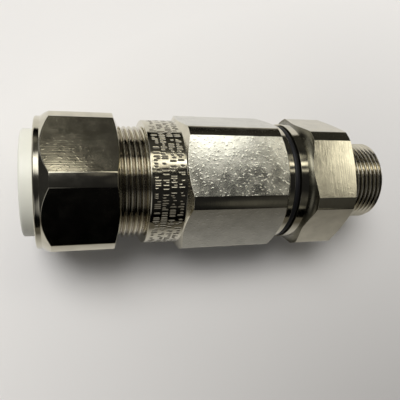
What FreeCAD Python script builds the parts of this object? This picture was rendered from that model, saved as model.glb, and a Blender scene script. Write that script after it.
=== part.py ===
import FreeCAD, Part

import math
import os

import Sketcher
from FreeCAD import Vector

# Cable gland for armoured cable, M25 x 1.5, nickel-plated brass, outer seal nut backed off.
#
# Frame: the axis is X. The origin is the centre of the shoulder behind the entry thread, which is
# the face that meets the enclosure. +X runs out along the entry thread, -X runs back to the cable.
# +Z is up, with the entry hexagon lying on one flat. Millimetres.

doc = FreeCAD.newDocument("cable_gland")

# Driving dimensions. Radii are built up from the entry thread through the walls, so that one
# change of the thread's diameter carries every piece with it.

SIZES = [
    # entry component
    ("entry_thread_dia", 25.0, "M25 major diameter, the gland's nominal size"),
    ("entry_thread_length", 15.0, "shoulder to tip"),
    ("entry_thread_lead", 0.8, "lead chamfer at the tip"),
    ("entry_wall", 2.5, "wall under the entry thread"),
    ("entry_hex_length", 14.4, "hexagon along the axis"),
    ("entry_hex_turn", 0.0, "degrees from flat side up"),
    ("entry_face_inset", 0.3, "ring left on the shoulder, in from the flats"),
    ("entry_face_angle", 20.0, "degrees of the shoulder chamfer from the face"),
    ("collar_inset", 0.35, "round collar, in from the flats"),
    ("collar_length", 4.3, "round collar along the axis"),
    ("collar_fillet", 0.8, "fillet from the collar to the hexagon"),
    ("spigot_length", 14.5, "collar face to the spigot's end"),
    ("spigot_lead", 0.9, "lead chamfer of the spigot thread"),
    ("spigot_wall", 2.6, "wall between the seat's bore and the spigot thread"),
    ("seat_cover", 9.0, "shoulder to the foot of the conical seat"),
    ("seat_step", 2.4, "radial depth of the conical seat"),
    ("seat_angle", 44.0, "degrees of the conical seat from the axis"),
    # hexagons of the three turned pieces, one spanner for all
    ("front_wall", 3.6, "wall between the body's front thread and the flats"),
    ("corner_trim", 1.0, "turned off the hexagon's sharp corners"),
    # deluge seal
    ("deluge_width", 2.2, "squeezed width between collar and body"),
    ("deluge_inset", 0.45, "seal's outside, in from the flats"),
    ("deluge_crown", 0.1, "flat left between the two rounded edges"),
    # main body
    ("boss_inset", 0.65, "short round boss, in from the flats"),
    ("boss_length", 0.8, "boss along the axis"),
    ("body_front_angle", 35.0, "degrees of the front chamfer from the face"),
    ("body_hex_length", 30.7, "hexagon along the axis, chamfers included"),
    ("body_hex_turn", -3.0, "degrees from flat side up"),
    ("body_rear_angle", 30.0, "degrees of the rear chamfer from the face"),
    ("barrel_inset", 0.45, "plain barrel, in from the flats"),
    ("barrel_length", 10.0, "barrel along the axis"),
    ("barrel_edge", 0.4, "chamfer of the barrel's rear edge"),
    ("rear_thread_length", 16.2, "barrel to the body's rear end"),
    ("rear_thread_lead", 0.7, "lead chamfer of the rear thread"),
    ("rear_wall", 2.1, "wall between rear thread and pocket"),
    ("spigot_reserve", 1.8, "front thread left behind the spigot's end"),
    ("front_relief_width", 1.4, "thread relief behind the front thread"),
    ("front_relief_depth", 0.55, "depth of that relief"),
    ("chamber_step", 0.9, "chamber, in from the spigot thread, so that pieces pass the thread"),
    ("ring_seat_depth", 1.2, "radial depth of the clamping ring's seat"),
    ("ring_seat_angle", 45.0, "degrees of that seat from the axis"),
    ("pocket_depth", 14.9, "pocket for the outer seal, from the body's rear end"),
    ("pocket_mouth", 0.4, "chamfer of the pocket's mouth"),
    # outer seal nut
    ("nut_engagement", 8.6, "rear thread held by the nut"),
    ("nut_wall", 2.2, "wall between the nut's thread and the flats"),
    ("nut_hex_turn", -21.5, "degrees from flat side up"),
    ("nut_face_inset", 0.55, "ring left on the nut's front face, in from the flats"),
    ("nut_face_angle", 25.0, "degrees of the front chamfer from the face"),
    ("nut_collar_inset", 0.15, "round collar, in from the flats"),
    ("nut_collar_length", 1.8, "round collar along the axis"),
    ("nut_collar_round", 0.5, "rounding of the collar's rear edge"),
    ("nut_shoulder_angle", 45.0, "degrees of the rear chamfer from the face"),
    ("nut_mouth", 0.6, "chamfer of the thread's mouth"),
    ("nut_relief_width", 3.6, "thread relief in front of the floor"),
    ("nut_relief_depth", 0.45, "depth of that relief"),
    ("nut_floor", 2.4, "wall behind the skid washer"),
    # outer seal and skid washer
    ("squeeze_travel", 7.0, "body's rear end to the seal's flange, taken up by the nut"),
    ("seal_flange_length", 2.8, "flange between washer and body"),
    ("nose_entry", 3.4, "nose inside the body's pocket"),
    ("nose_wall", 2.4, "wall of the nose"),
    ("nose_taper", 3.0, "taper at the nose's tip"),
    ("nose_tip_wall", 1.2, "wall at the nose's tip"),
    ("lip_step", 1.0, "lip, out from the nose"),
    ("lip_proud", 3.5, "lip standing out of the nut"),
    ("lip_edge", 1.8, "wall at the lip's mouth"),
    ("lip_round", 0.6, "rounding of the lip's outer edge"),
    ("lip_mouth_depth", 4.2, "taper from the mouth to the bore"),
    ("skid_thickness", 0.6, "skid washer along the axis"),
    # armour clamping ring
    ("ring_length", 6.5, "ring along the axis"),
    ("ring_overhang", 3.2, "ring's rear end behind the cone"),
    ("armour_gap", 1.1, "room for the armour between cone and ring"),
    ("ring_groove_depth", 0.5, "depth of the two grip grooves"),
    ("ring_groove_width", 1.2, "width of the two grip grooves"),
    # armour cone
    ("cone_flange_length", 2.5, "flange along the axis"),
    ("cone_flange_step", 1.0, "flange, out from the cone's base"),
    ("cone_length", 12.4, "cone along the axis"),
    ("cone_tip_wall", 1.0, "wall at the cone's rear end"),
    ("cone_steps", 5, "serrations that grip the armour"),
    ("cone_step_depth", 0.25, "depth of a serration"),
    ("cone_rest_gap", 0.3, "gap between flange and spigot, seal not squeezed"),
    # inner seal and thrust ferrule
    ("ferrule_length", 2.6, "thrust ferrule along the axis"),
    ("inner_seal_length", 11.0, "inner seal along the axis"),
    ("inner_seal_grip", 0.7, "seal's bore, in from the entry bore"),
    ("inner_seal_taper", 1.9, "length of the tapered nose"),
    # clearances
    ("thread_clearance", 0.15, "radial, between mating threads"),
    ("slide_clearance", 0.1, "radial, between sliding pieces"),
    ("seal_clearance", 0.3, "radial, around a seal before it is squeezed"),
    ("face_clearance", 0.1, "axial, between pieces that rest on each other"),
]

sheet = doc.addObject("Spreadsheet::Sheet", "sizes")
for row, (alias, size, note) in enumerate(SIZES, start=1):
    sheet.set(f"A{row}", note)
    sheet.set(f"B{row}", str(size))
    sheet.setAlias(f"B{row}", alias)
doc.recompute()

# Radii, from the entry thread outwards and from there back to the seals

RADII = [
    ("entry_thread", "sizes.entry_thread_dia / 2"),
    ("entry_bore", "radius.entry_thread - sizes.entry_wall"),
    ("seat", "radius.entry_bore + sizes.seat_step"),
    ("in_seat", "radius.seat - sizes.slide_clearance"),
    ("spigot_thread", "radius.seat + sizes.spigot_wall"),
    ("front_thread", "radius.spigot_thread + sizes.thread_clearance"),
    ("front_relief", "radius.front_thread + sizes.front_relief_depth"),
    ("flats", "radius.front_thread + sizes.front_wall"),
    ("sharp_corners", "radius.flats / cos(30deg)"),
    ("corners", "radius.sharp_corners - sizes.corner_trim"),
    ("entry_face", "radius.flats - sizes.entry_face_inset"),
    ("collar", "radius.flats - sizes.collar_inset"),
    ("boss", "radius.flats - sizes.boss_inset"),
    ("barrel", "radius.flats - sizes.barrel_inset"),
    ("deluge_outside", "radius.flats - sizes.deluge_inset"),
    ("deluge_inside", "radius.spigot_thread + sizes.seal_clearance"),
    ("chamber", "radius.spigot_thread - sizes.chamber_step"),
    ("in_chamber", "radius.chamber - sizes.slide_clearance"),
    ("waist", "radius.chamber - sizes.ring_seat_depth"),
    ("sheath_hole", "radius.entry_bore - sizes.slide_clearance"),
    ("cone_tip", "radius.sheath_hole + sizes.cone_tip_wall"),
    ("cone_base", "radius.in_chamber - sizes.cone_flange_step"),
    ("inner_seal_bore", "radius.entry_bore - sizes.inner_seal_grip"),
    ("inner_seal_nose", "radius.in_seat - sizes.inner_seal_taper * tan(sizes.seat_angle * 1deg)"),
    ("nut_face", "radius.flats - sizes.nut_face_inset"),
    ("nut_collar", "radius.flats - sizes.nut_collar_inset"),
    ("nut_thread", "radius.flats - sizes.nut_wall"),
    ("nut_relief", "radius.nut_thread + sizes.nut_relief_depth"),
    ("rear_thread", "radius.nut_thread - sizes.thread_clearance"),
    ("pocket", "radius.rear_thread - sizes.rear_wall"),
    ("seal_nose", "radius.pocket - sizes.seal_clearance"),
    ("seal_bore", "radius.seal_nose - sizes.nose_wall"),
    ("seal_tip", "radius.seal_bore + sizes.nose_tip_wall"),
    ("seal_flange", "radius.nut_thread - sizes.seal_clearance"),
    ("lip", "radius.seal_nose + sizes.lip_step"),
    ("lip_mouth", "radius.lip - sizes.lip_edge"),
    ("floor_hole", "radius.lip + sizes.seal_clearance"),
]

# Stations along the axis, from the entry thread's tip back to the outer seal's lip


def cone_run(step, angle):
    """Length along the axis of a cone or chamfer. The angle is measured from the axis."""
    return f"({step}) / tan({angle} * 1deg)"


def face_chamfer(step, angle):
    """Length along the axis of a chamfer. The angle is measured from the face."""
    return f"({step}) * tan({angle} * 1deg)"


SHOULDER_CHAMFER = face_chamfer("radius.corners - radius.entry_face", "sizes.entry_face_angle")
SEAT_CONE = cone_run("sizes.seat_step", "sizes.seat_angle")
RING_TOE = cone_run("radius.in_chamber - radius.waist", "sizes.ring_seat_angle")
RING_SEAT = cone_run("sizes.ring_seat_depth", "sizes.ring_seat_angle")
BODY_FRONT_CHAMFER = face_chamfer("radius.corners - radius.boss", "sizes.body_front_angle")
BODY_REAR_CHAMFER = face_chamfer("radius.corners - radius.barrel", "sizes.body_rear_angle")
NUT_FACE_CHAMFER = face_chamfer("radius.corners - radius.nut_face", "sizes.nut_face_angle")
NUT_SHOULDER = face_chamfer("radius.corners - radius.nut_collar", "sizes.nut_shoulder_angle")

STATIONS = [
    ("entry_tip", "sizes.entry_thread_length"),
    ("shoulder_edge", f"-{SHOULDER_CHAMFER}"),
    ("seat_foot", "-sizes.seat_cover"),
    ("seat_top", f"along.seat_foot + {SEAT_CONE}"),
    ("entry_hex_rear", "-sizes.entry_hex_length"),
    ("collar_rear", "along.entry_hex_rear - sizes.collar_length"),
    ("spigot_rear", "along.collar_rear - sizes.spigot_length"),
    ("inner_seal_front", "along.seat_foot + sizes.inner_seal_taper - sizes.face_clearance"),
    ("inner_seal_rear", "along.inner_seal_front - sizes.inner_seal_length"),
    ("ferrule_front", "along.inner_seal_rear - sizes.face_clearance"),
    ("ferrule_rear", "along.ferrule_front - sizes.ferrule_length"),
    ("cone_front", "along.ferrule_rear - sizes.face_clearance"),
    ("cone_flange_front", "along.spigot_rear - sizes.cone_rest_gap"),
    ("cone_flange_rear", "along.cone_flange_front - sizes.cone_flange_length"),
    ("cone_rear", "along.cone_flange_rear - sizes.cone_length"),
    ("ring_rear", "along.cone_rear - sizes.ring_overhang"),
    ("ring_front", "along.ring_rear + sizes.ring_length"),
    ("ring_toe", f"along.ring_rear + {RING_TOE}"),
    ("waist_front", "along.ring_rear - sizes.face_clearance"),
    ("chamber_rear", f"along.waist_front + {RING_SEAT}"),
    ("relief_front", "along.spigot_rear - sizes.spigot_reserve"),
    ("relief_rear", "along.relief_front - sizes.front_relief_width"),
    ("body_front", "along.collar_rear - sizes.deluge_width"),
    ("deluge_rear", "along.body_front + sizes.face_clearance"),
    ("boss_rear", "along.body_front - sizes.boss_length"),
    ("body_hex_front", f"along.boss_rear - {BODY_FRONT_CHAMFER}"),
    ("barrel_front", "along.boss_rear - sizes.body_hex_length"),
    ("body_hex_rear", f"along.barrel_front + {BODY_REAR_CHAMFER}"),
    ("barrel_rear", "along.barrel_front - sizes.barrel_length"),
    ("body_rear", "along.barrel_rear - sizes.rear_thread_length"),
    ("pocket_front", "along.body_rear + sizes.pocket_depth"),
    ("seal_nose_front", "along.body_rear + sizes.nose_entry"),
    ("seal_flange_front", "along.body_rear - sizes.squeeze_travel"),
    ("seal_flange_rear", "along.seal_flange_front - sizes.seal_flange_length"),
    ("skid_front", "along.seal_flange_rear - sizes.face_clearance"),
    ("skid_rear", "along.skid_front - sizes.skid_thickness"),
    ("nut_front", "along.body_rear + sizes.nut_engagement"),
    ("nut_hex_front", f"along.nut_front - {NUT_FACE_CHAMFER}"),
    ("nut_floor", "along.skid_rear - sizes.face_clearance"),
    ("nut_relief", "along.nut_floor + sizes.nut_relief_width"),
    ("nut_rear", "along.nut_floor - sizes.nut_floor"),
    ("nut_collar", "along.nut_rear + sizes.nut_collar_length"),
    ("nut_hex_rear", f"along.nut_collar + {NUT_SHOULDER}"),
    ("lip_rear", "along.nut_rear - sizes.lip_proud"),
    ("lip_bore", "along.lip_rear + sizes.lip_mouth_depth"),
]


def bound_table(name, rows):
    """An object whose named numbers come from expressions, one row after the other."""
    table = doc.addObject("App::VarSet", name)
    for entry, formula in rows:
        table.addProperty("App::PropertyFloat", entry)
        table.setExpression(entry, formula)
    doc.recompute()
    return table


radius = bound_table("radius", RADII)
along = bound_table("along", STATIONS)


def value(formula):
    """The number that an expression on the tables gives now."""
    return float(along.evalExpression(formula))


def new_sketch(body, name, plane_role):
    sketch = body.newObject("Sketcher::SketchObject", name)
    plane = next(plane for plane in body.Origin.OriginFeatures if plane.Role == plane_role)
    sketch.AttachmentSupport = [(plane, "")]
    sketch.MapMode = "FlatFace"
    return sketch


def bind(sketch, constraint, formula):
    index = sketch.addConstraint(constraint)
    sketch.setExpression(f"Constraints[{index}]", formula)


def turned(label, outline):
    """A body turned about X from an outline of (station, radius) corners."""
    body = doc.addObject("PartDesign::Body", label)
    body.Label = label
    sketch = new_sketch(body, f"{label}_outline", "XY_Plane")
    corners = [Vector(value(station), value(reach), 0) for station, reach in outline]
    for start, end in zip(corners, corners[1:] + corners[:1]):
        sketch.addGeometry(Part.LineSegment(start, end), False)
    for index, (station, reach) in enumerate(outline):
        following = (index + 1) % len(outline)
        corner = corners[index]
        sketch.addConstraint(Sketcher.Constraint("Coincident", index, 2, following, 1))
        bind(sketch, Sketcher.Constraint("DistanceX", -1, 1, index, 1, corner.x), station)
        bind(sketch, Sketcher.Constraint("DistanceY", -1, 1, index, 1, corner.y), reach)
    turning = body.newObject("PartDesign::Revolution", f"{label}_turning")
    turning.Profile = sketch
    turning.ReferenceAxis = (sketch, ["H_Axis"])
    turning.Angle = 360
    doc.recompute()
    return body


def mill_flats(body, rear, turn):
    """Six flats milled along the whole piece. What is slimmer than the flats stays round."""
    sketch = new_sketch(body, f"{body.Label}_flats", "YZ_Plane")
    sketch.setExpression("AttachmentOffset.Base.z", rear)
    sketch.setExpression("AttachmentOffset.Rotation.Angle", turn)
    reach = value("radius.sharp_corners")
    points = [Vector(reach * math.cos(math.radians(60 * side)),
                     reach * math.sin(math.radians(60 * side)), 0) for side in range(6)]
    for start, end in zip(points, points[1:] + points[:1]):
        sketch.addGeometry(Part.LineSegment(start, end), False)
    centre, axis = Vector(0, 0, 0), Vector(0, 0, 1)
    corner_circle = sketch.addGeometry(Part.Circle(centre, axis, reach), True)
    swarf_circle = sketch.addGeometry(Part.Circle(centre, axis, 2 * reach), False)
    for side in range(6):
        sketch.addConstraint(Sketcher.Constraint("Coincident", side, 2, (side + 1) % 6, 1))
        sketch.addConstraint(Sketcher.Constraint("PointOnObject", side, 1, corner_circle))
        if side:
            sketch.addConstraint(Sketcher.Constraint("Equal", 0, side))
    sketch.addConstraint(Sketcher.Constraint("Horizontal", 1))
    for circle in (corner_circle, swarf_circle):
        sketch.addConstraint(Sketcher.Constraint("Coincident", circle, 3, -1, 1))
    bind(sketch, Sketcher.Constraint("Diameter", corner_circle, 2 * reach), "2 * radius.sharp_corners")
    bind(sketch, Sketcher.Constraint("Diameter", swarf_circle, 4 * reach), "4 * radius.sharp_corners")
    milling = body.newObject("PartDesign::Pocket", f"{body.Label}_milling")
    milling.Profile = sketch
    milling.Type = "ThroughAll"
    milling.Reversed = True
    doc.recompute()


def round_edges(body, places, rounding_radius):
    """Fillet the full circles at the (station, radius) places."""
    base = body.Tip
    edges = []
    for number, edge in enumerate(base.Shape.Edges, start=1):
        curve = edge.Curve
        if not isinstance(curve, Part.Circle):
            continue
        for station, reach in places:
            here = abs(curve.Center.x - value(station)) < 1e-4
            if here and abs(curve.Radius - value(reach)) < 1e-4:
                edges.append(f"Edge{number}")
    rounding = body.newObject("PartDesign::Fillet", f"{body.Label}_rounding")
    rounding.Base = (base, edges)
    rounding.setExpression("Radius", rounding_radius)
    doc.recompute()


# Entry component: spigot thread, round collar, hexagon and entry thread, with the seal seat

entry_component = turned("entry_component", [
    ("along.spigot_rear", "radius.seat"),
    ("along.spigot_rear", "radius.spigot_thread - sizes.spigot_lead"),
    ("along.spigot_rear + sizes.spigot_lead", "radius.spigot_thread"),
    ("along.collar_rear", "radius.spigot_thread"),
    ("along.collar_rear", "radius.collar"),
    ("along.entry_hex_rear", "radius.collar"),
    ("along.entry_hex_rear", "radius.corners"),
    ("along.shoulder_edge", "radius.corners"),
    ("0", "radius.entry_face"),
    ("0", "radius.entry_thread"),
    ("along.entry_tip - sizes.entry_thread_lead", "radius.entry_thread"),
    ("along.entry_tip", "radius.entry_thread - sizes.entry_thread_lead"),
    ("along.entry_tip", "radius.entry_bore"),
    ("along.seat_top", "radius.entry_bore"),
    ("along.seat_foot", "radius.seat"),
])
round_edges(entry_component, [("along.entry_hex_rear", "radius.collar")], "sizes.collar_fillet")
mill_flats(entry_component, "along.spigot_rear", "sizes.entry_hex_turn")

# Deluge seal: O-ring squeezed between the collar and the body

deluge_seal = turned("deluge_seal", [
    ("along.deluge_rear", "radius.deluge_inside"),
    ("along.deluge_rear", "radius.deluge_outside"),
    ("along.collar_rear", "radius.deluge_outside"),
    ("along.collar_rear", "radius.deluge_inside"),
])
round_edges(
    deluge_seal,
    [(station, reach)
     for station in ("along.deluge_rear", "along.collar_rear")
     for reach in ("radius.deluge_inside", "radius.deluge_outside")],
    "(sizes.deluge_width - sizes.face_clearance - sizes.deluge_crown) / 2",
)

# Main body: boss, hexagon, barrel and rear thread outside; pocket, waist, chamber, thread inside

main_body = turned("main_body", [
    ("along.body_rear", "radius.pocket + sizes.pocket_mouth"),
    ("along.body_rear", "radius.rear_thread - sizes.rear_thread_lead"),
    ("along.body_rear + sizes.rear_thread_lead", "radius.rear_thread"),
    ("along.barrel_rear", "radius.rear_thread"),
    ("along.barrel_rear", "radius.barrel - sizes.barrel_edge"),
    ("along.barrel_rear + sizes.barrel_edge", "radius.barrel"),
    ("along.barrel_front", "radius.barrel"),
    ("along.body_hex_rear", "radius.corners"),
    ("along.body_hex_front", "radius.corners"),
    ("along.boss_rear", "radius.boss"),
    ("along.body_front", "radius.boss"),
    ("along.body_front", "radius.front_thread"),
    ("along.relief_front", "radius.front_thread"),
    ("along.relief_front", "radius.front_relief"),
    ("along.relief_rear", "radius.front_relief"),
    ("along.relief_rear", "radius.chamber"),
    ("along.chamber_rear", "radius.chamber"),
    ("along.waist_front", "radius.waist"),
    ("along.pocket_front", "radius.waist"),
    ("along.pocket_front", "radius.pocket"),
    ("along.body_rear + sizes.pocket_mouth", "radius.pocket"),
])
mill_flats(main_body, "along.body_rear", "sizes.body_hex_turn")


# Armour cone: serrated cone, flange behind the spigot's end, sleeve that slides in the seat's bore


def cone_surface(station):
    slope = "(radius.cone_base - radius.cone_tip) / sizes.cone_length"
    return f"radius.cone_tip + ({station} - along.cone_rear) * {slope}"


step_count = int(value("sizes.cone_steps"))
serrations = []
for step in range(1, step_count + 1):
    crest = f"along.cone_rear + sizes.cone_length * {step} / {step_count + 1}"
    serrations += [
        (crest, cone_surface(crest)),
        (crest, f"{cone_surface(crest)} - sizes.cone_step_depth"),
    ]

armour_cone = turned("armour_cone", [
    ("along.cone_rear", "radius.sheath_hole"),
    ("along.cone_rear", "radius.cone_tip"),
] + serrations + [
    ("along.cone_flange_rear", "radius.cone_base"),
    ("along.cone_flange_rear", "radius.in_chamber"),
    ("along.cone_flange_front", "radius.in_chamber"),
    ("along.cone_flange_front", "radius.in_seat"),
    ("along.cone_front", "radius.in_seat"),
    ("along.cone_front", "radius.sheath_hole"),
])


# Armour clamping ring: on its seat in the body, with two grip grooves towards the cone


def ring_bore(station):
    return f"{cone_surface(station)} + sizes.armour_gap"


grooves = []
for third in (2, 1):
    middle = f"along.ring_rear + sizes.ring_length * {third} / 3"
    front_rim = f"{middle} + sizes.ring_groove_width / 2"
    rear_rim = f"{middle} - sizes.ring_groove_width / 2"
    grooves += [
        (front_rim, ring_bore(front_rim)),
        (middle, f"{ring_bore(middle)} + sizes.ring_groove_depth"),
        (rear_rim, ring_bore(rear_rim)),
    ]

armour_clamping_ring = turned("armour_clamping_ring", [
    ("along.ring_rear", ring_bore("along.ring_rear")),
    ("along.ring_rear", "radius.waist"),
    ("along.ring_toe", "radius.in_chamber"),
    ("along.ring_front", "radius.in_chamber"),
    ("along.ring_front", ring_bore("along.ring_front")),
] + grooves)

# Thrust ferrule and inner seal: in the entry component's seat

thrust_ferrule = turned("thrust_ferrule", [
    ("along.ferrule_rear", "radius.sheath_hole"),
    ("along.ferrule_rear", "radius.in_seat"),
    ("along.ferrule_front", "radius.in_seat"),
    ("along.ferrule_front", "radius.sheath_hole"),
])

inner_seal = turned("inner_seal", [
    ("along.inner_seal_rear", "radius.inner_seal_bore"),
    ("along.inner_seal_rear", "radius.in_seat"),
    ("along.inner_seal_front - sizes.inner_seal_taper", "radius.in_seat"),
    ("along.inner_seal_front", "radius.inner_seal_nose"),
    ("along.inner_seal_front", "radius.inner_seal_bore"),
])

# Outer seal nut: round collar, 45 degree shoulder and hexagon; relieved thread and floor inside

outer_seal_nut = turned("outer_seal_nut", [
    ("along.nut_rear", "radius.floor_hole"),
    ("along.nut_rear", "radius.nut_collar"),
    ("along.nut_collar", "radius.nut_collar"),
    ("along.nut_hex_rear", "radius.corners"),
    ("along.nut_hex_front", "radius.corners"),
    ("along.nut_front", "radius.nut_face"),
    ("along.nut_front", "radius.nut_thread + sizes.nut_mouth"),
    ("along.nut_front - sizes.nut_mouth", "radius.nut_thread"),
    ("along.nut_relief", "radius.nut_thread"),
    ("along.nut_relief", "radius.nut_relief"),
    ("along.nut_floor", "radius.nut_relief"),
    ("along.nut_floor", "radius.floor_hole"),
])
round_edges(outer_seal_nut, [("along.nut_rear", "radius.nut_collar")], "sizes.nut_collar_round")
mill_flats(outer_seal_nut, "along.nut_rear", "sizes.nut_hex_turn")

# Skid washer: between the nut's floor and the outer seal's flange

skid_washer = turned("skid_washer", [
    ("along.skid_rear", "radius.floor_hole"),
    ("along.skid_rear", "radius.seal_flange"),
    ("along.skid_front", "radius.seal_flange"),
    ("along.skid_front", "radius.floor_hole"),
])

# Outer seal: lip through the nut's floor, flange, nose in the body's pocket, tapered mouth

outer_seal = turned("outer_seal", [
    ("along.lip_rear", "radius.lip_mouth"),
    ("along.lip_rear", "radius.lip"),
    ("along.seal_flange_rear", "radius.lip"),
    ("along.seal_flange_rear", "radius.seal_flange"),
    ("along.seal_flange_front", "radius.seal_flange"),
    ("along.seal_flange_front", "radius.seal_nose"),
    ("along.seal_nose_front - sizes.nose_taper", "radius.seal_nose"),
    ("along.seal_nose_front", "radius.seal_tip"),
    ("along.seal_nose_front", "radius.seal_bore"),
    ("along.lip_bore", "radius.seal_bore"),
])
round_edges(outer_seal, [("along.lip_rear", "radius.lip")], "sizes.lip_round")

# Check every object, then write one file for each piece

PIECES = [
    entry_component, deluge_seal, main_body, armour_clamping_ring, armour_cone,
    thrust_ferrule, inner_seal, outer_seal_nut, skid_washer, outer_seal,
]

doc.recompute()
for item in doc.Objects:
    if "Invalid" in item.State or "Error" in item.State:
        raise RuntimeError(f"{item.Label} failed: {item.State}")
for piece in PIECES:
    if piece.Shape.isNull() or not piece.Shape.isValid():
        raise RuntimeError(f"{piece.Label} has no valid shape")

os.makedirs("parts", exist_ok=True)
for piece in PIECES:
    piece.Shape.exportStep(f"parts/{piece.Label}.step")
    box = piece.Shape.BoundBox
    print(f"{piece.Label}: x {box.XMin:.2f} to {box.XMax:.2f}, volume {piece.Shape.Volume:.0f} mm3,"
          f" {len(piece.Shape.Solids)} solid")
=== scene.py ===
# %% [markdown]
# # Cable gland for armoured cable
#
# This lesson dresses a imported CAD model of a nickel-plated cable gland for a photograph-like
# render. The CAD model is loaded as a fixed frame. Every visible piece is rebuilt here with its
# cut threads, milled flats, softened edges and marks, and rides on the CAD body that moves it.

import math
import random

import bmesh
import bpy
from mathutils import Matrix, Vector


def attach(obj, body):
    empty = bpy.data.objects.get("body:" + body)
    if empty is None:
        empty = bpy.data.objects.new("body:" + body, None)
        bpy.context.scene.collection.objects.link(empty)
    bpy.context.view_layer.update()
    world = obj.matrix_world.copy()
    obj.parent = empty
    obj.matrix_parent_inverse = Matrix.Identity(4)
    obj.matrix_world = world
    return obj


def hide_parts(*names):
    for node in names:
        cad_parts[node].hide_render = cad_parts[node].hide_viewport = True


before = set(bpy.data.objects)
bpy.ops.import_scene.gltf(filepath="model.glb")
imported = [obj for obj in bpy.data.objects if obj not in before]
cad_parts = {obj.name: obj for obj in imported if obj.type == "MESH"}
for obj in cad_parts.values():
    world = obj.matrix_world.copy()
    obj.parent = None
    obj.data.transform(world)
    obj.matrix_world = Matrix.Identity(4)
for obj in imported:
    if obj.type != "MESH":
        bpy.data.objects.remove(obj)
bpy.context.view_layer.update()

# %% [markdown]
# ## Measures
#
# Blender works in metres and a gland is drawn in millimetres, so lengths are written in millimetres
# and turned into metres at one place. The axis of the gland is X. A turned piece is then a list of
# (station along X, radius) corners, the way a lathe operator reads a drawing.

# %% Measures in millimetres
MM = 0.001
FLATS = 18.75            # half the width across flats of all three hexagons
CORNERS = 20.65          # radius to which the sharp corners are turned
ENTRY_TURN = 0.0         # degrees that each hexagon is turned about X
BODY_TURN = -3.0
NUT_TURN = -21.5
PITCH = 1.5              # of all threads
THREAD_DEPTH = 0.92
ENTRY_CREST = 12.5       # radii of the threads' crests
SPIGOT_CREST = 15.0
REAR_CREST = 16.4
AXIS = Vector((1, 0, 0))


# %% [markdown]
# ## A lathe
#
# A closed outline is drawn in the XY plane and spun once round X. `use_merge` joins the last copy
# to the first, so that the piece has no seam. The normals are worked out once it is closed.

# %% Lathe
TURN_STEPS = 192         # faces round a turned piece


def turned(outline, steps=TURN_STEPS):
    """A closed outline of (station, radius) corners, turned about X."""
    bm = bmesh.new()
    verts = [bm.verts.new((x * MM, r * MM, 0)) for x, r in outline]
    edges = [bm.edges.new((a, b)) for a, b in zip(verts, verts[1:] + verts[:1])]
    bmesh.ops.spin(bm, geom=verts + edges, cent=(0, 0, 0), axis=AXIS, dvec=(0, 0, 0),
                   angle=math.tau, steps=steps, use_merge=True)
    bmesh.ops.recalc_face_normals(bm, faces=bm.faces)
    return bm


def arc(x, r, radius, start, end, segments=8):
    """Corners of a rounding: centre (x, r), from one angle to the other, in degrees."""
    angles = [math.radians(start + (end - start) * i / segments) for i in range(segments + 1)]
    return [(x + radius * math.cos(a), r + radius * math.sin(a)) for a in angles]


# %% [markdown]
# ## A mill
#
# Each flat is a plane that cuts off what stands out of it. `bisect_plane` does the cut, and the
# open loop that it leaves is filled with one flat face. Because the blank was chamfered on the
# lathe, the edges of the flats come out as the curves that a real hexagon shows.

# %% Mill
CUT_TOLERANCE = 1e-7     # metres; a corner that is closer to a plane lies on it


def only(kind, geometry):
    """The corners or the edges out of what an operator returned."""
    return [item for item in geometry if isinstance(item, kind)]


def mill_flats(bm, turn):
    """Six flats round X, each one large face."""
    for side in range(6):
        angle = math.radians(90 + turn + 60 * side)
        normal = Vector((0, math.cos(angle), math.sin(angle)))
        cut = bmesh.ops.bisect_plane(bm, geom=bm.verts[:] + bm.edges[:] + bm.faces[:],
                                     dist=CUT_TOLERANCE, plane_co=normal * FLATS * MM,
                                     plane_no=normal, clear_outer=True)
        bmesh.ops.contextual_create(bm, geom=only(bmesh.types.BMEdge, cut["geom_cut"]))
    bmesh.ops.recalc_face_normals(bm, faces=bm.faces)


def is_milled(face):
    """Only the flats that the mill left have more than eight corners."""
    return len(face.verts) > 8


# %% [markdown]
# ## From the mill to the finished surface
#
# Every edge is broken a little, because a sharp edge catches no light. A piece can have up to four
# finishes. The flats that the mill left get the second one, and threads and sunken surfaces get
# theirs where they are made.

# %% Deburring, shading and finishes
TURNED, FLAT, THREAD, SUNKEN = range(4)     # places in a piece's list of materials


def break_edges(bm, width=0.12, sharper_than=20):
    """The small rounding that deburring and plating leave on every edge."""
    limit = math.radians(sharper_than)
    edges = [e for e in bm.edges if len(e.link_faces) == 2 and e.calc_face_angle(0) > limit]
    bmesh.ops.bevel(bm, geom=edges, offset=width * MM, offset_type="OFFSET", segments=2,
                    profile=0.5, affect="EDGES", clamp_overlap=True, material=-1)


def soften(bm, crisp_above):
    """Smooth shading, but crisp at edges sharper than an angle and around the milled flats."""
    limit = math.radians(crisp_above)
    for face in bm.faces:
        face.smooth = True
    for edge in bm.edges:
        if len(edge.link_faces) == 2:
            at_flat = any(is_milled(face) for face in edge.link_faces)
            edge.smooth = not at_flat and edge.calc_face_angle(0) < limit


def machined(outline, hexagon_turn, steps=TURN_STEPS):
    """A piece that is turned, milled to a hexagon and deburred."""
    bm = turned(outline, steps)
    mill_flats(bm, hexagon_turn)
    break_edges(bm)
    soften(bm, crisp_above=12)
    for face in bm.faces:
        if is_milled(face):
            face.material_index = FLAT
    return bm


# %% [markdown]
# ## A thread cutter
#
# One pitch of the thread's outline is spun once round X while it moves one pitch along it. That
# turn is copied pitch by pitch and the copies are merged, which gives the helix. It is made too
# long at both ends, and two planes cut it to length. The open ends are drawn inwards and joined,
# so the thread is a closed sleeve that sits on the turned core.

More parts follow.
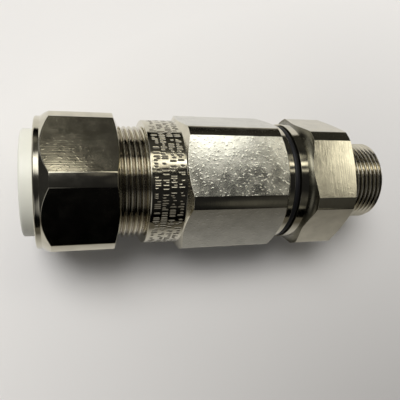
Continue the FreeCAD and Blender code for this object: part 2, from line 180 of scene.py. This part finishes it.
# %% Thread cutter
CREST_TO_CREST = [
    (0.0, 0.0), (0.055, 0.01), (0.1, 0.07), (0.2, 0.33), (0.3, 0.61), (0.37, 0.83), (0.43, 0.95),
    (0.5, 1.0), (0.57, 0.95), (0.63, 0.83), (0.7, 0.61), (0.8, 0.33), (0.9, 0.07), (0.945, 0.01),
    (1.0, 0.0),
]  # share of the pitch along X, share of the depth below the crest
THREAD_STEPS = 96        # faces round one turn of a thread
TURNS_BEFORE = 1.5       # turns that are cut off again in front of the start
SPARE_TURNS = 3          # turns past the end
MERGE_DISTANCE = 1e-6    # metres


def set_radius(vert, radius):
    """Moves a corner straight towards the axis or away from it."""
    scale = radius / math.hypot(vert.co.y, vert.co.z)
    vert.co.y *= scale
    vert.co.z *= scale


def add_mesh(bm, other):
    """Puts one bmesh into another. The first keeps its own faces' finish."""
    carrier = bpy.data.meshes.new("carrier")
    other.to_mesh(carrier)
    other.free()
    bm.from_mesh(carrier)
    bpy.data.meshes.remove(carrier)


def add_thread(bm, start, end, crest, core, lead_station, lead_radius, finish):
    """A threaded sleeve from one station to the other, with a 45 degree lead at one end."""
    sleeve = bmesh.new()
    first = start - TURNS_BEFORE * PITCH
    verts = [sleeve.verts.new(((first + PITCH * share) * MM, (crest - THREAD_DEPTH * down) * MM, 0))
             for share, down in CREST_TO_CREST]
    edges = [sleeve.edges.new(pair) for pair in zip(verts, verts[1:])]
    bmesh.ops.spin(sleeve, geom=verts + edges, cent=(0, 0, 0), axis=AXIS,
                   dvec=AXIS * (PITCH / THREAD_STEPS * MM), angle=math.tau, steps=THREAD_STEPS,
                   use_merge=False)
    one_turn = sleeve.verts[:] + sleeve.edges[:] + sleeve.faces[:]
    for turn in range(1, math.ceil((end - start) / PITCH) + SPARE_TURNS):
        copied = bmesh.ops.duplicate(sleeve, geom=one_turn)["geom"]
        bmesh.ops.translate(sleeve, vec=AXIS * turn * PITCH * MM,
                            verts=only(bmesh.types.BMVert, copied))
    bmesh.ops.remove_doubles(sleeve, verts=sleeve.verts, dist=MERGE_DISTANCE)
    for station, inwards in ((start, 1), (end, -1)):
        bmesh.ops.bisect_plane(sleeve, geom=sleeve.verts[:] + sleeve.edges[:] + sleeve.faces[:],
                               dist=CUT_TOLERANCE, plane_co=AXIS * station * MM,
                               plane_no=AXIS * inwards, clear_inner=True)
    for v in sleeve.verts:
        limit = (lead_radius + abs(lead_station - v.co.x / MM)) * MM
        if math.hypot(v.co.y, v.co.z) > limit:
            set_radius(v, limit)
    rim = [e for e in sleeve.edges if len(e.link_faces) == 1]
    drawn = bmesh.ops.extrude_edge_only(sleeve, edges=rim)["geom"]
    for v in only(bmesh.types.BMVert, drawn):
        set_radius(v, core * MM)
    inner = [e for e in only(bmesh.types.BMEdge, drawn) if len(e.link_faces) == 1]
    bmesh.ops.bridge_loops(sleeve, edges=inner)
    bmesh.ops.recalc_face_normals(sleeve, faces=sleeve.faces)
    soften(sleeve, crisp_above=60)
    for face in sleeve.faces:
        face.material_index = finish
    open_edges = sum(len(e.link_faces) != 2 for e in sleeve.edges)
    print(f"thread {start} to {end}: {len(sleeve.faces)} faces, {open_edges} open edges")
    add_mesh(bm, sleeve)


# %% [markdown]
# ## From a bmesh to an object
#
# The object stays at the origin and its place is in its mesh, as the frame expects. It rides on a
# body, gets its materials, and stands for the CAD node that it replaces, which is hidden.

# %% Finished piece
def finished(bm, name, body, materials, replaced):
    mesh = bpy.data.meshes.new(name)
    bm.to_mesh(mesh)
    bm.free()
    for material in materials:
        mesh.materials.append(material)
    piece = bpy.data.objects.new(name, mesh)
    bpy.context.scene.collection.objects.link(piece)
    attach(piece, body)
    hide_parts(replaced)
    print(f"{name}: {len(mesh.polygons)} faces on body {body}")


# %% [markdown]
# ## Materials
#
# A few helpers write the node trees. All patterns are read from Object coordinates, in metres.

# %% Node helpers
def new_material(name, base, metallic, roughness=0.5):
    material = bpy.data.materials.new(name)
    material.use_nodes = True
    shader = material.node_tree.nodes["Principled BSDF"]
    shader.inputs["Base Color"].default_value = (*base, 1)
    shader.inputs["Metallic"].default_value = metallic
    shader.inputs["Roughness"].default_value = roughness
    return material, material.node_tree, shader


def feed(tree, given, socket):
    """Links a socket to an input, or sets the input to a value."""
    if isinstance(given, bpy.types.NodeSocket):
        tree.links.new(given, socket)
    else:
        socket.default_value = given


def noise(tree, feature, stretch=(1, 1, 1), detail=3.0, roughness=0.5):
    """Noise whose features have a size in millimetres, stretched along the axes."""
    place = tree.nodes.new("ShaderNodeTexCoord")
    mapping = tree.nodes.new("ShaderNodeMapping")
    mapping.inputs["Scale"].default_value = [1 / s for s in stretch]
    texture = tree.nodes.new("ShaderNodeTexNoise")
    texture.inputs["Scale"].default_value = 1 / (feature * MM)
    texture.inputs["Detail"].default_value = detail
    texture.inputs["Roughness"].default_value = roughness
    tree.links.new(place.outputs["Object"], mapping.inputs["Vector"])
    tree.links.new(mapping.outputs["Vector"], texture.inputs["Vector"])
    return texture.outputs["Fac"]


def spread(tree, value, low, high, start=0.3, end=0.7):
    """Maps a value between start and end to a span from low to high."""
    node = tree.nodes.new("ShaderNodeMapRange")
    for key, number in (("From Min", start), ("From Max", end), ("To Min", low), ("To Max", high)):
        node.inputs[key].default_value = number
    tree.links.new(value, node.inputs["Value"])
    return node.outputs["Result"]


def blend_colours(tree, factor, first, second):
    """From the first colour to the second. The first may be a socket to link."""
    node = tree.nodes.new("ShaderNodeMix")
    node.data_type = "RGBA"
    is_socket = isinstance(first, bpy.types.NodeSocket)
    feed(tree, first if is_socket else (*first, 1), node.inputs["A"])
    feed(tree, (*second, 1), node.inputs["B"])
    feed(tree, factor, node.inputs["Factor"])
    return node.outputs["Result"]


def vector_math(tree, operation, first, second):
    """One vector operation. An input is a socket to link or a value to set."""
    node = tree.nodes.new("ShaderNodeVectorMath")
    node.operation = operation
    feed(tree, first, node.inputs[0])
    feed(tree, second, node.inputs["Scale"] if operation == "SCALE" else node.inputs[1])
    has_number = operation in ("DISTANCE", "DOT_PRODUCT")
    return node.outputs["Value" if has_number else "Vector"]


def total(tree, parts):
    result = parts[0]
    for part in parts[1:]:
        result = vector_math(tree, "ADD", result, part)
    return result


def bump(tree, shader, layers):
    """Chains bumps, each a (height, depth in millimetres)."""
    normal = None
    for height, depth in layers:
        node = tree.nodes.new("ShaderNodeBump")
        node.inputs["Strength"].default_value = 1
        node.inputs["Distance"].default_value = depth * MM
        tree.links.new(height, node.inputs["Height"])
        if normal:
            tree.links.new(normal, node.inputs["Normal"])
        normal = node.outputs["Normal"]
    tree.links.new(normal, shader.inputs["Normal"])


# %% [markdown]
# ## Nickel plate
#
# Nickel plate is a metal with a warm grey colour. What makes it look real is the fine structure
# under the plate: circular tool marks on turned surfaces, and cutter marks with a grainy, slightly
# pitted plate on the flats. Dull patches and smears break up the shine. A thread's colour darkens
# with the depth below the crest, as painted shade and grime at its bottom. In the recess behind the
# entry hexagon the plate is rougher, and its colour is darker as painted shade.

# %% Nickel plate
WARM_NICKEL = (0.72, 0.685, 0.56)
COOL_NICKEL = (0.70, 0.695, 0.63)
# painted shade: the darker colour of the recess behind the entry hexagon
RECESS_SHADE_NICKEL = (0.20, 0.19, 0.14)
ROOT_SHADE_AND_GRIME = (0.42, 0.38, 0.31)             # painted shade and grime at the bottom of a thread
ROOT_SHADE_TOP, ROOT_SHADE_BOTTOM = 0.05, 0.90   # depths below the crest, from none to full painted shade and grime
DULLER = 0.8                           # least share of the brightness in the dull patches
PATCHES, SMEARS = 4.0, 3.0             # sizes of the dull patches and of the rougher smears
TOOL_MARKS = 1.0                       # before they are stretched
ROUND_TOOL = (0.12, 8, 8)              # rings: fine along X, long around it
LONG_TOOL = (14, 0.45, 0.45)           # streaks along X
CROSS_TOOL = (0.4, 8, 8)               # coarser streaks across X
GRAIN = 0.8                            # size of the plate's grain and of the pits in it
PIT_START, PIT_END = 0.60, 0.70        # only the highest noise is a pit
WAVES, WAVE_DEPTH = 4.0, 0.012         # waviness that polishing leaves
POLISHED = (0.08, 0.14)                # least and most roughness
TURNED_RELIEF = (0.004, 0.001, 0)      # depths of the tool marks, the grain and the pits


def shaded_grimy_root(tree, tint, crest):
    """Darkens a colour from a thread's crest down to its bottom, as painted shade and grime."""
    place = tree.nodes.new("ShaderNodeTexCoord").outputs["Object"]
    radius = vector_math(tree, "DISTANCE", place, vector_math(tree, "MULTIPLY", place, AXIS))
    root_shade = spread(tree, radius, 1, 0, (crest - ROOT_SHADE_BOTTOM) * MM, (crest - ROOT_SHADE_TOP) * MM)
    return blend_colours(tree, root_shade, tint, ROOT_SHADE_AND_GRIME)


def nickel(name, colour, tool, relief, roughness, crest=None):
    """Plated metal. Only a thread has a crest, which is the radius in millimetres."""
    tool_depth, grain_depth, pit_depth = relief
    material, tree, shader = new_material(name, colour, 1.0)
    dull = [DULLER * c for c in colour]
    tint = blend_colours(tree, spread(tree, noise(tree, PATCHES, detail=4), 0, 1), colour, dull)
    # painted shade and grime: a thread's colour darkens towards its bottom
    if crest:
        tint = shaded_grimy_root(tree, tint, crest)
    tree.links.new(tint, shader.inputs["Base Color"])
    tree.links.new(spread(tree, noise(tree, SMEARS, detail=6), *roughness),
                   shader.inputs["Roughness"])
    bump(tree, shader, [
        (noise(tree, TOOL_MARKS, stretch=tool, detail=2), tool_depth),
        (noise(tree, GRAIN, detail=3, roughness=0.6), grain_depth),
        (spread(tree, noise(tree, GRAIN, detail=1), 0, 1, PIT_START, PIT_END), pit_depth),
        (noise(tree, WAVES, detail=1), WAVE_DEPTH),
    ])
    return material


turned_nickel = nickel("turned_nickel", WARM_NICKEL, ROUND_TOOL, TURNED_RELIEF, POLISHED)
rear_thread_nickel = nickel("rear_thread_nickel", WARM_NICKEL, ROUND_TOOL, TURNED_RELIEF,
                            POLISHED, REAR_CREST)
entry_thread_nickel = nickel("entry_thread_nickel", WARM_NICKEL, ROUND_TOOL, TURNED_RELIEF,
                             POLISHED, ENTRY_CREST)
# painted shade in the recess behind the entry hexagon: darker colour, rougher plate
shaded_recess_nickel = nickel("shaded_recess_nickel", RECESS_SHADE_NICKEL, ROUND_TOOL, TURNED_RELIEF, (0.2, 0.35))
body_flat_nickel = nickel("body_flat_nickel", COOL_NICKEL, ROUND_TOOL,
                          (0.0005, 0.008, 0.009), (0.11, 0.20))
entry_flat_nickel = nickel("entry_flat_nickel", WARM_NICKEL, CROSS_TOOL,
                           (0.008, 0.003, 0.002), (0.12, 0.18))
nut_flat_nickel = nickel("nut_flat_nickel", WARM_NICKEL, LONG_TOOL,
                         (0.007, 0.002, 0.004), (0.08, 0.16))
print("nickel:", [m.name for m in bpy.data.materials if m.name.endswith("nickel")])

# %% [markdown]
# ## Elastomer, rubber, nylon and the marks
#
# The moulded pieces are plain, with a faint unevenness. The bottom of the barrel's marks is dark,
# matte and uneven, as etched nickel is.

# %% Elastomer, rubber, nylon and the marks
UNEVEN = 0.01            # depth in millimetres

white_elastomer, tree, shader = new_material("white_elastomer", (0.80, 0.80, 0.71), 0, 0.45)
bump(tree, shader, [(noise(tree, 1.0, detail=4), UNEVEN)])

black_rubber, tree, shader = new_material("black_rubber", (0.006, 0.006, 0.007), 0, 0.5)
shader.inputs["Specular IOR Level"].default_value = 0.25
bump(tree, shader, [(noise(tree, 0.5, detail=3), UNEVEN)])

white_nylon, tree, shader = new_material("white_nylon", (0.74, 0.74, 0.69), 0, 0.5)
bump(tree, shader, [(noise(tree, 1.0, detail=2), UNEVEN)])

etched_nickel, tree, shader = new_material("etched_nickel", (0.22, 0.20, 0.155), 0.6)
tree.links.new(spread(tree, noise(tree, 0.4, detail=2), 0.45, 0.7), shader.inputs["Roughness"])
bump(tree, shader, [(noise(tree, 0.2, detail=2), UNEVEN)])

# %% [markdown]
# ## Entry component
#
# One turned and milled piece: a hidden thread that screws into the body, a round collar with a
# fillet, the hexagon and the M25 entry thread with its through bore. The fillet runs into the
# recess behind the hexagon, whose darker finish is painted shade.

# %% Entry component
COLLAR = 18.3
FILLET_START, FILLET_END, FILLET = -15.7, -13.2, 2.5

entry_outline = [
    (-33.15, 12.4), (-33.15, 14.0), (-18.0, 14.0), (-18.0, COLLAR),       # spigot and collar
    *arc(FILLET_START, COLLAR + FILLET, FILLET, 270, 350, 12),
    (FILLET_END, CORNERS), (-0.8, CORNERS), (0.0, 18.45), (0.0, 11.5),    # hexagon and shoulder
    (14.98, 11.5), (14.98, 10.0), (-6.51, 10.0), (-9.0, 12.4),            # thread's core and bore
]
bm = machined(entry_outline, ENTRY_TURN)
# the recess faces get the darker finish, which is painted shade
for face in bm.faces:
    centre = face.calc_center_median() / MM
    above_collar = math.hypot(centre.y, centre.z) > COLLAR
    if FILLET_START < centre.x < FILLET_END and above_collar and not is_milled(face):
        face.material_index = SUNKEN
add_thread(bm, start=0.0, end=15.0, crest=ENTRY_CREST, core=11.3,
           lead_station=15.0, lead_radius=11.75, finish=THREAD)
add_thread(bm, start=-33.2, end=-18.05, crest=SPIGOT_CREST, core=13.8,
           lead_station=-33.2, lead_radius=14.1, finish=TURNED)
finished(bm, "entry_piece", "entry",
         [turned_nickel, entry_flat_nickel, entry_thread_nickel, shaded_recess_nickel],
         "entry_component")

# %% [markdown]
# ## Deluge seal
#
# A black O-ring squeezed between the collar and the body. Its section is a flattened oval, whose
# powers below one make it squarer than an ellipse.

# %% Deluge seal
RING_STATION, RING_RADIUS = -19.05, 16.7        # centre of the section
HALF_WIDTH, HALF_HEIGHT = 1.0, 1.25
SQUARE_WIDTH, SQUARE_HEIGHT = 0.8, 0.9
SECTION_STEPS = 32

section = []
for i in range(SECTION_STEPS):
    angle = math.tau * i / SECTION_STEPS
    across = math.copysign(abs(math.cos(angle)) ** SQUARE_WIDTH, math.cos(angle))
    outward = math.copysign(abs(math.sin(angle)) ** SQUARE_HEIGHT, math.sin(angle))
    section.append((RING_STATION + HALF_WIDTH * across, RING_RADIUS + HALF_HEIGHT * outward))
bm = turned(section)
soften(bm, crisp_above=60)
finished(bm, "o_ring", "entry", [black_rubber], "deluge_seal")

# %% [markdown]
# ## Main body
#
# Boss, hexagon, barrel and rear thread are one turned piece. The barrel is turned as a fine grid of
# small faces, which the marks need.

# %% Main body
BARREL = 18.3
BARREL_START, BARREL_LENGTH = -62.0, 9.6
LINES = 40               # grid lines along the barrel, 0.24 mm apart
STEPS = 432              # grid steps round it, 0.27 mm apart

barrel_stations = [BARREL_START + BARREL_LENGTH * i / LINES for i in range(LINES + 1)]
body_outline = [
    (-78.55, 14.3), (-78.55, 15.4), (-62.4, 15.4),                        # thread's core
    (-62.4, BARREL - 0.3), (-62.3, BARREL - 0.1),
    *[(x, BARREL) for x in barrel_stations],
    (-51.04, CORNERS), (-23.49, CORNERS),                                 # hexagon
    (-21.7, 18.1), (-20.1, 18.1), (-20.1, 15.15),                         # boss
    (-35.0, 15.15), (-35.0, 15.7), (-36.4, 15.7), (-36.4, 14.1),          # relief and chamber
    (-50.5, 14.1), (-51.7, 12.9), (-63.7, 12.9), (-63.7, 14.3),           # waist and pocket
]
bm = machined(body_outline, BODY_TURN, steps=STEPS)

# %% [markdown]
# ## Marks on the barrel
#
# The barrel carries four rows of etched marks. Here they are plain short strokes, drawn by chance
# from a fixed seed, and spell nothing. The faces of the grid that a stroke covers are pushed in and
# given the matte finish, so the rows catch the light as etching does.

# %% Marks on the barrel
ROWS = 4
FIRST_LINE, ROW_PITCH = 3, 9                       # in grid lines
FULL, HALF_A, HALF_B, MIDDLE = (0, 7), (0, 4), (3, 7), (2, 5)     # lines that a stroke covers
STROKES = (FULL, FULL, FULL, HALF_A, HALF_B, MIDDLE)
STROKE_STEPS = (2, 2, 3, 3, 4, 6)                  # from one stroke to the next, in grid steps
SEAM_STEPS = 4                                     # left free where a row comes round
ON_BARREL = 0.02                                   # a face this near to the barrel's radius
MARK_EDGE, MARK_DEPTH = 0.03, 0.05

random.seed(25)
strokes = set()
for row in range(ROWS):
    first_line = FIRST_LINE + row * ROW_PITCH
    step = random.randint(0, 6)
    while step < STEPS - SEAM_STEPS:
        low, high = random.choice(STROKES)
        strokes |= {(step, first_line + line) for line in range(low, high)}
        step += random.choice(STROKE_STEPS)

marked = []
for face in bm.faces:
    centre = face.calc_center_median() / MM
    on_barrel = abs(math.hypot(centre.y, centre.z) - BARREL) < ON_BARREL
    if on_barrel and len(face.verts) == 4:
        around = math.atan2(centre.z, centre.y) % math.tau
        along = (centre.x - BARREL_START) / BARREL_LENGTH
        if (int(around / math.tau * STEPS), int(along * LINES)) in strokes:
            marked.append(face)
pressed = bmesh.ops.inset_region(bm, faces=marked, thickness=MARK_EDGE * MM,
                                 depth=-MARK_DEPTH * MM, use_boundary=True, use_even_offset=True)
for face in marked + pressed["faces"]:
    face.material_index = SUNKEN
print("etched grid faces:", len(marked))
add_thread(bm, start=-78.6, end=-62.4, crest=REAR_CREST, core=15.2,
           lead_station=-78.6, lead_radius=15.7, finish=THREAD)
finished(bm, "body_piece", "body",
         [turned_nickel, body_flat_nickel, rear_thread_nickel, etched_nickel], "main_body")

# %% [markdown]
# ## Outer seal nut
#
# The nut has a 45 degree shoulder and a round collar at its rear and a plain chamfer in front.

# %% Outer seal nut
nut_outline = [
    (-91.6, 15.3), *arc(-91.1, 18.1, 0.5, 180, 90),                       # rounded rear edge
    (-90.0, 18.6), (-87.65, CORNERS), (-71.14, CORNERS), (-70.0, 18.2),   # shoulder and hexagon
    (-70.0, 17.15), (-70.6, 16.55), (-85.6, 16.55), (-85.6, 17.0),        # relieved thread
    (-89.2, 17.0), (-89.2, 15.3),                                         # floor for the seal
]
bm = machined(nut_outline, NUT_TURN)
finished(bm, "nut_piece", "nut", [turned_nickel, nut_flat_nickel],
         "outer_seal_nut")

# %% [markdown]
# ## Outer seal
#
# The seal is moulded, so all its edges are round. Its lip stands out of the nut and its mouth
# tapers down to the bore that grips the cable.

# %% Outer seal
seal_outline = [
    *arc(-94.7, 13.5, 0.35, 250, 180, 5), *arc(-94.4, 14.3, 0.7, 180, 90),            # lip
    (-88.4, 15.0), (-88.4, 16.05), (-88.2, 16.25), (-85.8, 16.25), (-85.6, 16.05),    # flange
    (-85.6, 14.0), (-78.2, 14.0), (-75.4, 12.9), (-75.2, 12.7), (-75.2, 11.6),        # nose
    (-90.6, 11.6), (-91.2, 11.68),                                                    # bore
]
bm = turned(seal_outline)
soften(bm, crisp_above=40)
finished(bm, "seal_piece", "seal_carrier", [white_elastomer], "outer_seal")

# %% [markdown]
# ## Inner pieces
#
# The pieces inside keep their CAD shape, which is exact, and get the same finishes.

# %% Finishes for the CAD nodes that stay
inner_finishes = {
    "armour_cone": turned_nickel,
    "armour_clamping_ring": turned_nickel,
    "thrust_ferrule": turned_nickel,
    "inner_seal": white_elastomer,
    "skid_washer": white_nylon,
}
for node, material in inner_finishes.items():
    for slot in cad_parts[node].material_slots:
        slot.material = material
    print(f"{node}: {material.name}")

# %% [markdown]
# ## Floor
#
# The gland lies on a sheet of white paper. It rests on the nut's lowest corner and on the entry
# hexagon's flat, which is a little nearer to the axis, so the sheet leans by that small angle. A
# shadow is painted on the paper, which is greyer towards one corner.
#
# The metal mirrors the sheet as far as its edge and a dark bench past it. The camera sees no edge,
# so only rays that don't come from the camera find the paper darker away from the sheet's centre.

# %% Floor
NUT_REST = (-71.1, -20.62)             # (station, height) in millimetres
HEX_REST = (-0.2, -FLATS)
FLOOR_HALF = 3                         # metres, far past the picture
WHITE_PAPER = (0.87, 0.857, 0.84)
# painted shadow: the paper's colour near one corner
PAINTED_SHADOW_PAPER = (0.26, 0.254, 0.248)
PAINTED_SHADOW_CENTRE, PAINTED_SHADOW_REACH = (0.045, -0.15, 0), 0.23          # metres
SHEET_CENTRE, SHEET_END, BENCH_START = (-0.04, 0.28, 0), 0.31, 0.42
BENCH = (0.10, 0.09, 0.07)

lean = math.atan2(HEX_REST[1] - NUT_REST[1], HEX_REST[0] - NUT_REST[0])
floor_bm = bmesh.new()
bmesh.ops.create_grid(floor_bm, x_segments=2, y_segments=2, size=FLOOR_HALF)
floor_mesh = bpy.data.meshes.new("floor")
floor_bm.to_mesh(floor_mesh)
floor_bm.free()
floor = bpy.data.objects.new("floor", floor_mesh)
bpy.context.scene.collection.objects.link(floor)
floor.rotation_euler = (0, -lean, 0)
floor.location = (HEX_REST[0] * MM, 0, HEX_REST[1] * MM)

paper, tree, shader = new_material("paper", WHITE_PAPER, 0, 0.7)
place = tree.nodes.new("ShaderNodeTexCoord").outputs["Object"]
# painted shadow: the paper greys towards one corner
from_painted_shadow = vector_math(tree, "DISTANCE", place, PAINTED_SHADOW_CENTRE)
paper_with_shadow = blend_colours(tree, spread(tree, from_painted_shadow, 0, 1, 0, PAINTED_SHADOW_REACH),
                           PAINTED_SHADOW_PAPER, WHITE_PAPER)
off_sheet = spread(tree, vector_math(tree, "DISTANCE", place, SHEET_CENTRE),
                   0, 1, SHEET_END, BENCH_START)
light_path = tree.nodes.new("ShaderNodeLightPath")
not_camera = spread(tree, light_path.outputs["Is Camera Ray"], 1, 0, 0, 1)
mirrored = blend_colours(tree, vector_math(tree, "SCALE", off_sheet, not_camera),
                         paper_with_shadow, BENCH)
tree.links.new(mirrored, shader.inputs["Base Color"])
floor.data.materials.append(paper)
print(f"floor leans by {math.degrees(lean):.2f} degrees")

# %% [markdown]
# ## Light
#
# Metal shows what is around it, so the room matters as much as the lamps. The world is a dim room.
# Each lamp in it is a soft round glow, in a direction given by its azimuth from X towards Y and its
# elevation. Ceiling lamps stand behind the gland, where its flats and edges mirror them, and the
# side where the photographer stands is dark. The last three panels are mirrored by the sides that
# the photograph doesn't show.
#
# A strong soft box lights the paper and casts the shadow. In the metal it would burn out, so it is
# dimmed for glossy rays. The camera sees a pale backdrop instead of the room.

# %% Lamps
WARM = (1.0, 0.95, 0.80)       # lamps and walls of the room
COOL = (1.0, 0.98, 0.90)
PLAIN = (1.0, 0.99, 0.985)     # the soft box and the panels
SOFT_BOX_IN_METAL = 0.12       # share of the soft box that reflections show
BACKDROP = (0.85, 0.84, 0.825)

# azimuth, elevation, where the full glow ends and where it fades out, in degrees, level, colour
SOFT_BOX = [
    (132, 60, 8, 22, 9.8, PLAIN),
    (0, 90, 40, 76, 0.12, PLAIN),      # fill from the ceiling
]
ROOM = [
    (19, 48.5, 2.5, 7.5, 2.1, WARM),   # ceiling lamps behind the entry end
    (17, 50, 3, 10, 0.15, WARM),
    (16, 60, 0.5, 3.5, 0.9, WARM),
    (34, 53, 1.5, 4.5, 2.0, WARM),
    (40, 40, 3, 9, 0.9, WARM),
    (30, 46, 1.5, 5, 1.4, WARM),
    (52, 58.5, 2.5, 7, 3.4, COOL),     # lamps behind the body
    (50, 60, 4, 12, 0.08, COOL),
    (62, 61, 1, 4, 1.2, COOL),
    (76, 54, 3, 9, 1.8, WARM),
    (66, 69, 2, 7, 1.6, WARM),
    (46, 78, 1, 3, 1.8, WARM),
    (105, 62, 3.5, 7, 1.5, WARM),      # lamps behind the nut
    (91, 38, 1, 4.5, 1.6, WARM),
    (96, 24, 2, 9, 0.13, WARM),
    (75, 87, 1, 5, 0.13, WARM),
    (90, 35, 0, 32, 0.045, WARM),      # walls and ceiling
    (57, 14, 6, 24, 0.03, WARM),
    (-35, 77, 3, 9, 0.03, WARM),
    (-60, 38, 1, 6, 0.055, WARM),
    (-47, 32, 4, 18, 0.04, WARM),
    (-57, 21, 1.5, 4, 0.18, WARM),
    (180, 10, 20, 85, 0.03, PLAIN),
    (-8, 44, 2, 10, 0.06, WARM),
    (132, 20, 6, 24, 0.45, PLAIN),     # panels that only the other sides mirror
    (235, 32, 6, 24, 0.40, PLAIN),
    (0, 8, 6, 28, 0.30, PLAIN),
]
print("lamps and panels:", len(SOFT_BOX) + len(ROOM))

# %% World
world = bpy.data.worlds.new("room")
bpy.context.scene.world = world
world.use_nodes = True
tree = world.node_tree
tree.nodes.clear()
look = tree.nodes.new("ShaderNodeTexCoord").outputs["Generated"]


def towards(azimuth, elevation):
    a, e = math.radians(azimuth), math.radians(elevation)
    return Vector((math.cos(e) * math.cos(a), math.cos(e) * math.sin(a), math.sin(e)))


def glow(azimuth, elevation, inner, outer, colour):
    """A soft round lamp in the room: full inside the inner angle, gone at the outer one."""
    nearness = vector_math(tree, "DOT_PRODUCT", look, towards(azimuth, elevation))
    fade = spread(tree, nearness, 0, 1, math.cos(math.radians(outer)),
                  math.cos(math.radians(inner)))
    fade.node.interpolation_type = "SMOOTHSTEP"
    return vector_math(tree, "SCALE", colour, fade)


def lamps(rows):
    return total(tree, [glow(azimuth, elevation, inner, outer, [level * c for c in colour])
                        for azimuth, elevation, inner, outer, level, colour in rows])


soft_box = lamps(SOFT_BOX)
room = lamps(ROOM)
path = tree.nodes.new("ShaderNodeLightPath")
box_share = spread(tree, path.outputs["Is Glossy Ray"], 1, SOFT_BOX_IN_METAL, 0, 1)
lit_room = total(tree, [room, vector_math(tree, "SCALE", soft_box, box_share)])
room_light = tree.nodes.new("ShaderNodeBackground")
backdrop = tree.nodes.new("ShaderNodeBackground")
backdrop.inputs["Color"].default_value = (*BACKDROP, 1)
mix = tree.nodes.new("ShaderNodeMixShader")
output = tree.nodes.new("ShaderNodeOutputWorld")
tree.links.new(lit_room, room_light.inputs["Color"])
tree.links.new(path.outputs["Is Camera Ray"], mix.inputs["Fac"])
tree.links.new(room_light.outputs["Background"], mix.inputs[1])
tree.links.new(backdrop.outputs["Background"], mix.inputs[2])
tree.links.new(mix.outputs["Shader"], output.inputs["Surface"])
print("nodes in the world:", len(tree.nodes))

# %% [markdown]
# ## Camera
#
# The place, the turn and the lens come from fitting the gland's own circles and hexagons to the
# photograph. The columns of the turn are the camera's right, up and backward directions.

# %% Camera
camera = bpy.data.objects.new("camera", bpy.data.cameras.new("camera"))
bpy.context.scene.collection.objects.link(camera)
camera.data.sensor_width = 36
camera.data.lens = 40.167
camera.data.clip_start = 0.005
camera_turn = Matrix((
    (0.95652861, 0.02009214, -0.29094557),
    (-0.0596905, 0.98999246, -0.12787481),
    (0.28546465, 0.1396826, 0.94815542),
))
camera_place = Vector((-84.12, -23.641, 131.390)) * MM
camera.matrix_world = Matrix.Translation(camera_place) @ camera_turn.to_4x4()
bpy.context.scene.camera = camera
bpy.context.scene.view_settings.view_transform = "Standard"
print("camera at:", [round(c, 4) for c in camera_place])
